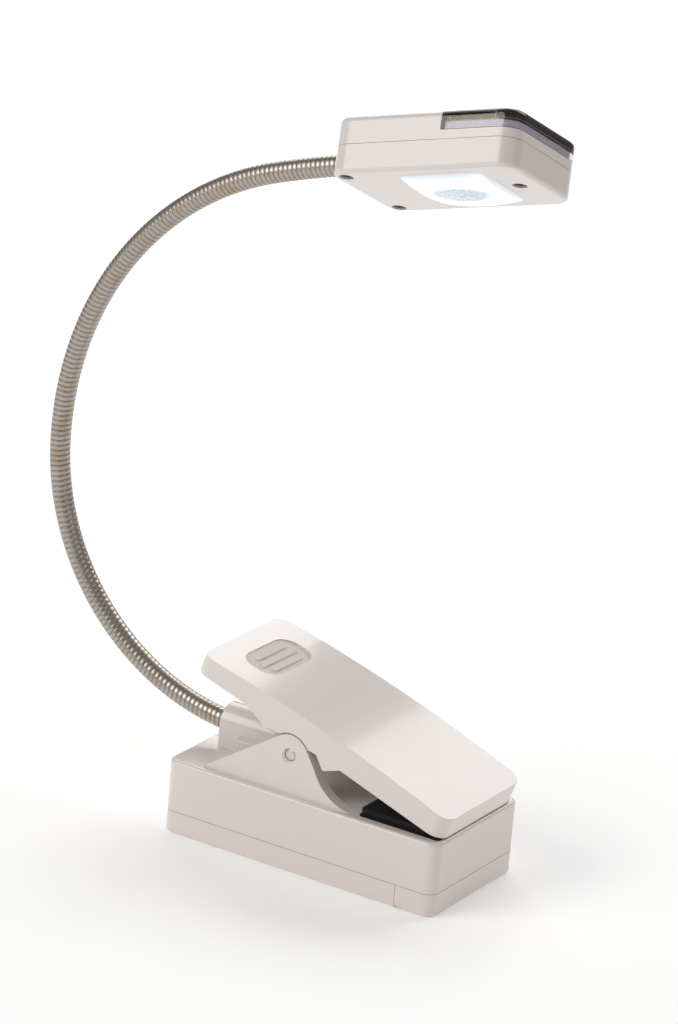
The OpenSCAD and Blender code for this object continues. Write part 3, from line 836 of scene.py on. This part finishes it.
# The liner's emission of 0.12 is painted light: it makes the liner glow faintly though it is no lamp.
LINER = Coated("pale_liner", "F0EEF6", "D9D6E6", 1.2, 0.35, 0.12)
REFLECTOR = Coated("white_reflector", "F1F1EE", "E9E9E6", 3.0, 0.2)
PHOSPHOR = Coated("phosphor", "F6E08A", "F2D670", 0.6, 0.4, 4.0)
RED_LEAD = Coated("lead_sheath", "8E1A18", "3A0E0E", 20.0, 0.45)
BUTTON = Coated("button_plastic", "D8D2CB", "D2CBC3", 2.0, 0.25)
PAPER = Backdrop()


# ---- Geometry Nodes trees ----

STEPS_PER_TURN = 12.0
WINDING_SIDES = 40
WIRE_SIDES = 14
RIB_SIDES = 12
CREST_POWER = 0.3  # below 1 makes the crests broad and the grooves narrow


def open_tree(name: str, inputs: dict[str, str]) -> tuple[bpy.types.NodeTree, dict]:
    """Starts a tree that takes geometry, named inputs and a material.

    Args:
        name: The tree's name.
        inputs: Each further input's name, with its kind, such as "Float".

    Returns:
        The tree, and its input sockets by name.
    """
    tree = bpy.data.node_groups.new(name, "GeometryNodeTree")
    tree.is_modifier = True
    for key, kind in {"Geometry": "Geometry", **inputs, "Material": "Material"}.items():
        tree.interface.new_socket(key, in_out="INPUT", socket_type="NodeSocket" + kind)
    tree.interface.new_socket("Geometry", in_out="OUTPUT", socket_type="NodeSocketGeometry")
    return tree, add(tree, "NodeGroupInput").outputs


def close_tree(
    tree: bpy.types.NodeTree, shape: bpy.types.NodeSocket, given: dict
) -> bpy.types.NodeTree:
    """Ends a tree: makes its instances real and sets their material.

    Args:
        tree: The tree.
        shape: The geometry to give out.
        given: The tree's input sockets by name.

    Returns:
        The same tree.
    """
    real = add(tree, "GeometryNodeRealizeInstances", {"Geometry": shape})
    coloured = add(
        tree, "GeometryNodeSetMaterial", {"Geometry": real.outputs[0], "Material": given["Material"]}
    )
    add(tree, "NodeGroupOutput", {0: coloured.outputs[0]})
    return tree


def wound_tube_tree() -> bpy.types.NodeTree:
    """Builds the tree that winds wire round a line: a tube whose skin rises and falls along a helix.

    Returns:
        The tree, with inputs for its radius, pitch, groove depth, start and material.
    """
    sizes = dict.fromkeys(("Radius", "Pitch", "Groove", "Start"), "Float")
    tree, given = open_tree("wound_tube", sizes)
    curve = add(tree, "GeometryNodeMeshToCurve", {"Mesh": given["Geometry"]})
    step = add(tree, "ShaderNodeMath", {0: given["Pitch"], 1: STEPS_PER_TURN}, operation="DIVIDE")
    fine = add(
        tree, "GeometryNodeResampleCurve",
        {"Curve": curve.outputs[0], "Length": step.outputs[0]}, mode="LENGTH",
    )
    run = add(tree, "GeometryNodeSplineParameter")
    tangent = add(tree, "GeometryNodeInputTangent")
    position = add(tree, "GeometryNodeInputPosition")
    kept = fine.outputs[0]
    for name, kind, value in (
        ("run", "FLOAT", run.outputs["Length"]),
        ("along", "FLOAT_VECTOR", tangent.outputs[0]),
        ("middle", "FLOAT_VECTOR", position.outputs[0]),
    ):
        kept = add(
            tree, "GeometryNodeStoreNamedAttribute",
            {"Geometry": kept, "Name": name, "Value": value}, data_type=kind, domain="POINT",
        ).outputs[0]
    ring = add(
        tree, "GeometryNodeCurvePrimitiveCircle",
        {"Resolution": WINDING_SIDES, "Radius": given["Radius"]},
    )
    tube = add(
        tree, "GeometryNodeCurveToMesh",
        {"Curve": kept, "Profile Curve": ring.outputs[0], "Fill Caps": True},
    )
    along = add(tree, "GeometryNodeInputNamedAttribute", {"Name": "along"}, data_type="FLOAT_VECTOR")
    middle = add(tree, "GeometryNodeInputNamedAttribute", {"Name": "middle"}, data_type="FLOAT_VECTOR")
    length = add(tree, "GeometryNodeInputNamedAttribute", {"Name": "run"}, data_type="FLOAT")
    spoke = add(
        tree, "ShaderNodeVectorMath", {0: position.outputs[0], 1: middle.outputs[0]},
        operation="SUBTRACT",
    )
    side = add(
        tree, "ShaderNodeVectorMath", {0: along.outputs[0], 1: (0, 1, 0)}, operation="CROSS_PRODUCT"
    )
    across = add(
        tree, "ShaderNodeVectorMath", {0: spoke.outputs[0], 1: (0, 1, 0)}, operation="DOT_PRODUCT"
    )
    up = add(
        tree, "ShaderNodeVectorMath", {0: spoke.outputs[0], 1: side.outputs[0]},
        operation="DOT_PRODUCT",
    )
    angle = add(
        tree, "ShaderNodeMath", {0: across.outputs["Value"], 1: up.outputs["Value"]},
        operation="ARCTAN2",
    )
    part_turn = add(tree, "ShaderNodeMath", {0: angle.outputs[0], 1: 2 * math.pi}, operation="DIVIDE")
    travelled = add(
        tree, "ShaderNodeMath", {0: length.outputs[0], 1: given["Start"]}, operation="ADD"
    )
    turns = add(
        tree, "ShaderNodeMath", {0: travelled.outputs[0], 1: given["Pitch"]}, operation="DIVIDE"
    )
    phase = add(
        tree, "ShaderNodeMath", {0: turns.outputs[0], 1: part_turn.outputs[0]}, operation="ADD"
    )
    half = add(tree, "ShaderNodeMath", {0: phase.outputs[0], 1: math.pi}, operation="MULTIPLY")
    wave = add(tree, "ShaderNodeMath", {0: half.outputs[0]}, operation="SINE")
    size = add(tree, "ShaderNodeMath", {0: wave.outputs[0]}, operation="ABSOLUTE")
    crest = add(tree, "ShaderNodeMath", {0: size.outputs[0], 1: CREST_POWER}, operation="POWER")
    sunk = add(tree, "ShaderNodeMath", {0: 1.0, 1: crest.outputs[0]}, operation="SUBTRACT")
    inward = add(tree, "ShaderNodeVectorMath", {0: spoke.outputs[0]}, operation="NORMALIZE")
    depth = add(tree, "ShaderNodeMath", {0: sunk.outputs[0], 1: given["Groove"]}, operation="MULTIPLY")
    back = add(tree, "ShaderNodeMath", {0: depth.outputs[0], 1: -1.0}, operation="MULTIPLY")
    move = add(
        tree, "ShaderNodeVectorMath", {0: inward.outputs[0], "Scale": back.outputs[0]},
        operation="SCALE",
    )
    marked = add(
        tree, "GeometryNodeStoreNamedAttribute",
        {"Geometry": tube.outputs[0], "Name": "groove", "Value": sunk.outputs[0]},
        data_type="FLOAT", domain="POINT",
    )
    shaped = add(
        tree, "GeometryNodeSetPosition", {"Geometry": marked.outputs[0], "Offset": move.outputs[0]}
    )
    clean = shaped.outputs[0]
    for name in ("run", "along", "middle"):
        clean = add(
            tree, "GeometryNodeRemoveAttribute", {"Geometry": clean, "Name": name}
        ).outputs[0]
    return close_tree(tree, clean, given)


def wire_tree() -> bpy.types.NodeTree:
    """Builds the tree that sweeps round wire along a line.

    Returns:
        The tree, with inputs for the wire's radius and material.
    """
    tree, given = open_tree("round_wire", {"Radius": "Float"})
    curve = add(tree, "GeometryNodeMeshToCurve", {"Mesh": given["Geometry"]})
    ring = add(
        tree, "GeometryNodeCurvePrimitiveCircle",
        {"Resolution": WIRE_SIDES, "Radius": given["Radius"]},
    )
    tube = add(
        tree, "GeometryNodeCurveToMesh",
        {"Curve": curve.outputs[0], "Profile Curve": ring.outputs[0], "Fill Caps": True},
    )
    return close_tree(tree, tube.outputs[0], given)


def rib_row_tree() -> bpy.types.NodeTree:
    """Builds the tree that stands small upright ribs along a line.

    Returns:
        The tree, with inputs for the spacing, the ribs' sizes and the material.
    """
    sizes = {"Spacing": "Float", "Radius": "Float", "Height": "Float", "Turn": "Rotation"}
    tree, given = open_tree("rib_row", sizes)
    curve = add(tree, "GeometryNodeMeshToCurve", {"Mesh": given["Geometry"]})
    spots = add(
        tree, "GeometryNodeCurveToPoints",
        {"Curve": curve.outputs[0], "Length": given["Spacing"]}, mode="LENGTH",
    )
    rib = add(
        tree, "GeometryNodeMeshCylinder",
        {"Vertices": RIB_SIDES, "Radius": given["Radius"], "Depth": given["Height"]},
    )
    placed = add(
        tree, "GeometryNodeInstanceOnPoints",
        {"Points": spots.outputs[0], "Instance": rib.outputs[0], "Rotation": given["Turn"]},
    )
    return close_tree(tree, placed.outputs[0], given)


def along_line(
    name: str, points: list[Vector], tree: bpy.types.NodeTree, values: dict[str, object]
) -> bpy.types.Object:
    """Runs a Geometry Nodes tree on a line and keeps the plain mesh.

    Args:
        name: The new object's name.
        points: The line's points, in metres.
        tree: The tree to run.
        values: Values for the tree's named inputs.

    Returns:
        The new object.
    """
    mesh = bpy.data.meshes.new(name)
    mesh.from_pydata([tuple(p) for p in points], [(i, i + 1) for i in range(len(points) - 1)], [])
    obj = new_object(name, mesh)
    modifier = obj.modifiers.new("make", "NODES")
    modifier.node_group = tree
    sockets = {
        item.name: item.identifier
        for item in tree.interface.items_tree
        if item.item_type == "SOCKET" and item.in_out == "INPUT"
    }
    for key, value in values.items():
        modifier[sockets[key]] = value
    return bake_modifiers(obj)


# ---- Sub-assemblies ----


def body_joint(name: str) -> dict:
    """Returns the joint with that name from the frame."""
    return next(j for j in frame["joints"] if j["name"] == name)


@dataclass
class HeadPlace:
    """The head's own frame: x from its neck end, z from its underside."""

    gap: float = 3.0
    half_height: float = 6.8

    def matrix(self) -> Matrix:
        """Works the frame out from the neck's last hinge and the button's travel.

        Returns:
            The matrix from the head's own frame to the row's.
        """
        pivot = Vector(body_joint("neck_bend_10")["pos_m"])
        up = -Vector(body_joint("button_press")["axis"]).normalized()
        along = Vector((up.z, 0, -up.x)).normalized()
        side = up.cross(along).normalized()
        turn = Matrix((along, side, up)).transposed().to_4x4()
        shift = Matrix.Translation(Vector((self.gap, 0, -self.half_height)) * MM)
        return Matrix.Translation(pivot) @ turn @ shift


@dataclass
class Base:
    """The battery base: its shells, its cells and contacts, its board and screws."""

    edge: float = 0.3
    pin_edge: float = 0.45
    contact_wire: float = 0.4
    contact_turns: int = 5
    contact_wide: float = 3.2
    contact_narrow: float = 1.95
    contact_across: float = 7.2
    contact_steps: int = 28
    cell_across: float = 10.5

    def build(self) -> None:
        """Rounds the visible mouldings and winds the contact springs."""
        for node in ("base_shell", "neck_socket"):
            dress(softened(node, self.edge), SHELL)
            LOG.info("%s rounded", node)
        dress(softened("hinge_pin", self.pin_edge, 4), BRIGHT_STEEL)
        self.wind_contacts()
        self.dress()

    def wind_contacts(self) -> None:
        """Winds one conical spring behind each cell and sets the three on the base's body."""
        low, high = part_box("contact_springs")
        cells = frame["nodes"]["cells"]
        ys = sorted({round(v.co.y, 5) for v in cells.data.vertices})
        middle_z = (low.z + high.z) / 2
        radius = (high.z - low.z) / 2
        pitch = ((ys[-1] - ys[0]) - 2 * radius * self.cell_across / self.contact_across) / 2
        run = high.x - low.x - 2 * self.contact_wire * MM
        made = []
        steps = self.contact_steps
        for place in (-1, 0, 1):
            points = []
            for i in range(self.contact_turns * steps + 1):
                share = i / (self.contact_turns * steps)
                angle = 2 * math.pi * i / steps
                wide = self.contact_wide + (self.contact_narrow - self.contact_wide) * share
                points.append(Vector((
                    low.x + self.contact_wire * MM + share * run,
                    place * pitch + wide * MM * math.cos(angle),
                    middle_z + wide * MM * math.sin(angle),
                )))
            made.append(along_line(
                f"contact_spring_{place + 2}", points, bpy.data.node_groups["round_wire"],
                {"Radius": self.contact_wire * MM, "Material": SPRING_STEEL.material()},
            ))
        for number, obj in enumerate(made):
            smooth(obj, 60)
            if number == 0:
                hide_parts("contact_springs")
            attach(obj, "base")
        LOG.info("three contact springs wound")

    def dress(self) -> None:
        """Gives the base's other nodes their finishes."""
        for node, finish in {
            "front_tray": SHELL, "battery_cover": SHELL, "cells": WRAP,
            "contact_plates": BRASS, "driver_board": BOARD, "driver_parts": BLACK_PLASTIC,
            "base_leads": RED_LEAD, "tray_screws": BLACK_SCREW, "socket_screws": BRIGHT_STEEL,
        }.items():
            dress_node(node, finish)


@dataclass
class Clamp:
    """The clamp: its lever, both rubber pads and the spring round the pin."""

    lever_edge: float = 0.8
    tilt: float = 17.6
    grip_at: float = -19.3
    grip_reach: float = 6.0
    grip_side: float = 10.5
    grip_low: float = 8.5
    grip_edge: float = 0.22
    inner_edge: float = 0.3
    skirt_low: float = 8.2
    pad_edge: float = 0.25
    wire: float = 0.5
    coil: float = 3.0
    turns: int = 8
    pitch: float = 1.06
    spring_steps: int = 40
    leg_foot: tuple[float, float] = (-9.2, -8.95)
    leg_tip: tuple[float, float] = (-11.5, 7.95)

    def build(self) -> None:
        """Makes the clamp's pieces."""
        dress(softened("clamp_lever", self.lever_edge, 4, share=self.edge_share), LEVER_SHELL)
        for node in ("jaw_pad", "lever_pad"):
            dress(softened(node, self.pad_edge, 2), RUBBER)
            LOG.info("%s rounded", node)
        self.wind_spring()

    def edge_share(self, point: Vector) -> float:
        """Works out how much of the edge rounding a point takes: little in the thumb grip.

        Args:
            point: The middle of an edge, in metres.

        Returns:
            The share of the full rounding, from 0 to 1.
        """
        pivot = Vector(body_joint("lever_hinge")["pos_m"])
        away = (point - pivot) / MM
        tilt = math.radians(self.tilt)
        along = away.x * math.cos(tilt) - away.z * math.sin(tilt)
        height = away.x * math.sin(tilt) + away.z * math.cos(tilt)
        inside = abs(along - self.grip_at) < self.grip_reach and abs(away.y) < self.grip_side
        if inside and height > self.grip_low:
            return self.grip_edge / self.lever_edge
        return self.inner_edge / self.lever_edge if height < self.skirt_low else 1.0

    def wind_spring(self) -> None:
        """Winds the torsion spring, with one leg on the base and one under the lever."""
        pivot = Vector(body_joint("lever_hinge")["pos_m"])
        half = self.turns * self.pitch / 2
        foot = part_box("clamp_spring")[0].z + self.wire * MM
        start = math.radians(-90)
        sweep = self.turns * 360 + 180 + self.tilt
        points = [Vector((pivot.x + self.leg_foot[0] * MM, -half * MM, foot))]
        count = int(sweep / 360 * self.spring_steps)
        for i in range(count + 1):
            angle = start - math.radians(sweep) * i / count
            points.append(Vector((
                pivot.x + self.coil * MM * math.cos(angle),
                (-half + 2 * half * i / count) * MM,
                pivot.z + self.coil * MM * math.sin(angle),
            )))
        tilt = math.radians(self.tilt)
        u, w = self.leg_tip
        points.append(Vector((
            pivot.x + (u * math.cos(tilt) + w * math.sin(tilt)) * MM, half * MM,
            pivot.z + (-u * math.sin(tilt) + w * math.cos(tilt)) * MM,
        )))
        obj = along_line(
            "clamp_spring_wire", points, bpy.data.node_groups["round_wire"],
            {"Radius": self.wire * MM, "Material": SPRING_STEEL.material()},
        )
        smooth(obj, 60)
        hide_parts("clamp_spring")
        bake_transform(obj)
        LOG.info("clamp spring wound")


@dataclass
class Neck:
    """The bendable neck: steel wire wound into a tube, made as one length for each hinge."""

    radius: float = 2.49
    pitch: float = 1.28
    groove: float = 0.17
    root: float = 12.0
    tip: float = 9.0
    steps: int = 16
    end_steps: int = 8
    collar_lap: float = 0.3
    pivots: list[Vector] = field(default_factory=list)
    headings: list[float] = field(default_factory=list)

    def measure(self) -> None:
        """Reads the hinges from the frame and works out the neck's heading at each."""
        names = [f"neck_bend_{i:02d}" for i in range(11)]
        self.pivots = [Vector(body_joint(n)["pos_m"]) for n in names]
        chords = [
            math.atan2(b.z - a.z, b.x - a.x) for a, b in zip(self.pivots, self.pivots[1:])
        ]
        axis = body_joint(names[1])["axis"]
        second = math.atan2(-axis[0], axis[2])
        self.headings = [2 * chords[0] - second, second]
        for chord in chords[1:]:
            self.headings.append(2 * chord - self.headings[-1])

    def direction(self, heading: float) -> Vector:
        """Returns the unit vector that points along a heading in the XZ plane."""
        return Vector((math.cos(heading), 0, math.sin(heading)))

    def arc(self, link: int, start: float, end: float) -> list[Vector]:
        """Works out points along one link's arc, between two shares of its length.

        Args:
            link: The link's number, from 0.
            start: The share of the arc to start at.
            end: The share of the arc to end at.

        Returns:
            The points, in metres.
        """
        a, b = self.headings[link], self.headings[link + 1]
        chord = (self.pivots[link + 1] - self.pivots[link]).length
        turn = a - b
        radius = chord / (2 * math.sin(turn / 2))
        centre = self.pivots[link] + radius * self.direction(a - math.pi / 2)
        shares = [start + (end - start) * i / self.steps for i in range(self.steps + 1)]
        return [centre - radius * self.direction(a - turn * s - math.pi / 2) for s in shares]

    def build(self) -> None:
        """Winds the neck: each length crosses one hinge."""
        self.measure()
        tree = bpy.data.node_groups["wound_tube"]
        last = len(self.pivots) - 1
        done = 0.0
        for k in range(last + 1):
            if k == 0:
                back = self.pivots[0] - self.direction(self.headings[0]) * self.root * MM
                points = [
                    back + (self.pivots[0] - back) * i / self.end_steps for i in range(self.end_steps)
                ]
            else:
                points = self.arc(k - 1, 0.5, 1.0)[:-1]
            if k == last:
                front = self.pivots[k] + self.direction(self.headings[k]) * self.tip * MM
                points += [
                    self.pivots[k] + (front - self.pivots[k]) * i / self.end_steps
                    for i in range(self.end_steps + 1)
                ]
            else:
                points += self.arc(k, 0.0, 0.5)
            obj = along_line(
                f"neck_winding_{k + 1:02d}", points, tree,
                {"Radius": self.radius * MM, "Pitch": self.pitch * MM, "Groove": self.groove * MM,
                 "Start": done, "Material": STEEL_WIRE.material()},
            )
            done += sum((b - a).length for a, b in zip(points, points[1:]))
            obj.data.shade_smooth()
            nodes = ["neck_root"] if k == 0 else []
            nodes.append(f"neck_link_{k + 1:02d}" if k < last else "neck_tip")
            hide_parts(*nodes)
            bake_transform(obj)
            LOG.info("neck length %d wound with %d points", k + 1, len(points))


@dataclass
class Head:
    """The lamp head: its shells, window, lens and what lies inside."""

    width: float = 29.0
    wall_in: float = 2.0
    rib_from: float = 29.6
    rib_to: float = 42.0
    rib_low: float = 11.0
    rib_high: float = 12.3
    rib_radius: float = 0.16
    rib_spacing: float = 3.2

    def build(self) -> None:
        """Makes the head's small ribs and dresses its nodes."""
        for node, finish in {
            "head_lower_shell": SHELL, "head_upper_shell": SHELL, "head_collar": SHELL,
            "smoked_window": SMOKE, "window_liner": LINER, "lens": LENS, "reflector": REFLECTOR,
            "led_board": BOARD, "led": PHOSPHOR, "head_leads": RED_LEAD,
            "switch_body": BLACK_PLASTIC, "power_button": BUTTON, "head_screws": BLACK_SCREW,
        }.items():
            dress_node(node, finish)
        self.stand_ribs()

    def stand_ribs(self) -> None:
        """Stands small upright ribs on the wall behind the window's two sides."""
        place = HeadPlace().matrix()
        y = self.width / 2 - self.wall_in
        z = (self.rib_low + self.rib_high) / 2
        runs = {
            "near": [(self.rib_from, -y), (self.rib_to, -y)],
            "far": [(self.rib_from, y), (self.rib_to, y)],
        }
        for name, ends in runs.items():
            points = [place @ (Vector((px, py, z)) * MM) for px, py in ends]
            obj = along_line(
                f"window_ribs_{name}", points, bpy.data.node_groups["rib_row"],
                {"Spacing": self.rib_spacing * MM, "Radius": self.rib_radius * MM,
                 "Height": (self.rib_high - self.rib_low) * MM,
                 "Turn": place.to_euler(), "Material": SHELL.material()},
            )
            smooth(obj, 40)
            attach(obj, "head")
            LOG.info("window ribs %s stood", name)


@dataclass
class Studio:
    """The pale floor, the soft lights and the camera."""

    yaw: float = 30.66
    elevation: float = 19.32
    roll: float = 4.92
    distance: float = 1066.7
    aside: float = 0.57
    above: float = 80.1
    lens: float = 158.2
    floor_size: float = 8000.0
    floor_drop: float = 0.02

    def build(self) -> None:
        """Makes the floor, lights, world and camera."""
        self.lay_floor()
        self.hang_lights()
        self.place_camera()

    def lay_floor(self) -> None:
        """Lays the paper floor just under the base."""
        half = self.floor_size * MM / 2
        z = CAD_BOX[0][2] - self.floor_drop * MM
        mesh = bpy.data.meshes.new("floor")
        mesh.from_pydata(
            [(-half, -half, z), (half, -half, z), (half, half, z), (-half, half, z)],
            [], [(0, 1, 2, 3)],
        )
        floor = new_object("floor", mesh)
        floor.data.materials.append(PAPER.material())

    def light(self, name: str, place: Vector, size: float, power: float, colour: str) -> None:
        """Hangs one square area light that faces the lamp.

        Args:
            name: The light's name.
            place: Its position, in metres.
            size: Its side, in metres.
            power: Its power, in watts.
            colour: Its colour, as sRGB hex.
        """
        data = bpy.data.lights.new(name, "AREA")
        data.shape = "SQUARE"
        data.size = size
        data.energy = power
        data.color = srgb(colour)[:3]
        obj = bpy.data.objects.new(name, data)
        bpy.context.scene.collection.objects.link(obj)
        aim = Vector((-0.01, 0, 0.08)) - place
        obj.matrix_world = Matrix.Translation(place) @ aim.to_track_quat("-Z", "Y").to_matrix().to_4x4()

    def hang_lights(self) -> None:
        """Hangs the soft lights and sets the even surrounding light."""
        self.light("key", Vector((-0.75, -1.1, 0.95)), 1.0, 11.6, "FFFDFA")
        self.light("fill", Vector((1.3, -0.5, 0.7)), 0.9, 1.6, "FFF8F0")
        self.light("window_left", Vector((-0.70, 0.95, 0.85)), 0.8, 5.4, "FFFFFF")
        self.light("window_right", Vector((0.20, 0.95, 0.85)), 0.8, 5.6, "FFFFFF")
        world = bpy.data.worlds.new("studio")
        bpy.context.scene.world = world
        world.use_nodes = True
        world.node_tree.nodes["Background"].inputs["Color"].default_value = srgb("FAFAFA")
        world.node_tree.nodes["Background"].inputs["Strength"].default_value = 0.28

    def place_camera(self) -> None:
        """Places the camera on its bearing, with its roll and its offset."""
        yaw, rise, roll = (math.radians(a) for a in (self.yaw, self.elevation, self.roll))
        right = Vector((math.cos(yaw), math.sin(yaw), 0))
        toward = Vector((
            math.sin(yaw) * math.cos(rise), -math.cos(yaw) * math.cos(rise), math.sin(rise)
        ))
        up = toward.cross(right)
        right_rolled = math.cos(roll) * right + math.sin(roll) * up
        up_rolled = -math.sin(roll) * right + math.cos(roll) * up
        place = (self.aside * right_rolled + self.above * up_rolled + self.distance * toward) * MM
        data = bpy.data.cameras.new("camera")
        data.lens = self.lens
        data.sensor_fit = "VERTICAL"
        data.sensor_height = 36.0
        data.clip_start = 0.05
        data.clip_end = 30.0
        camera = bpy.data.objects.new("camera", data)
        bpy.context.scene.collection.objects.link(camera)
        turn = Matrix((right_rolled, up_rolled, toward)).transposed().to_4x4()
        camera.matrix_world = Matrix.Translation(place) @ turn
        bpy.context.scene.camera = camera
        bpy.context.scene.view_settings.view_transform = "Standard"


def main() -> None:
    """Builds the lamp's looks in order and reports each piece."""
    logging.basicConfig(level=logging.INFO, format="%(name)s: %(message)s")
    wound_tube_tree()
    wire_tree()
    rib_row_tree()
    for part in (Studio(), Base(), Clamp(), Neck(), Head()):
        part.build()
        LOG.info("%s done", type(part).__name__)


if __name__ == "__main__":
    main()
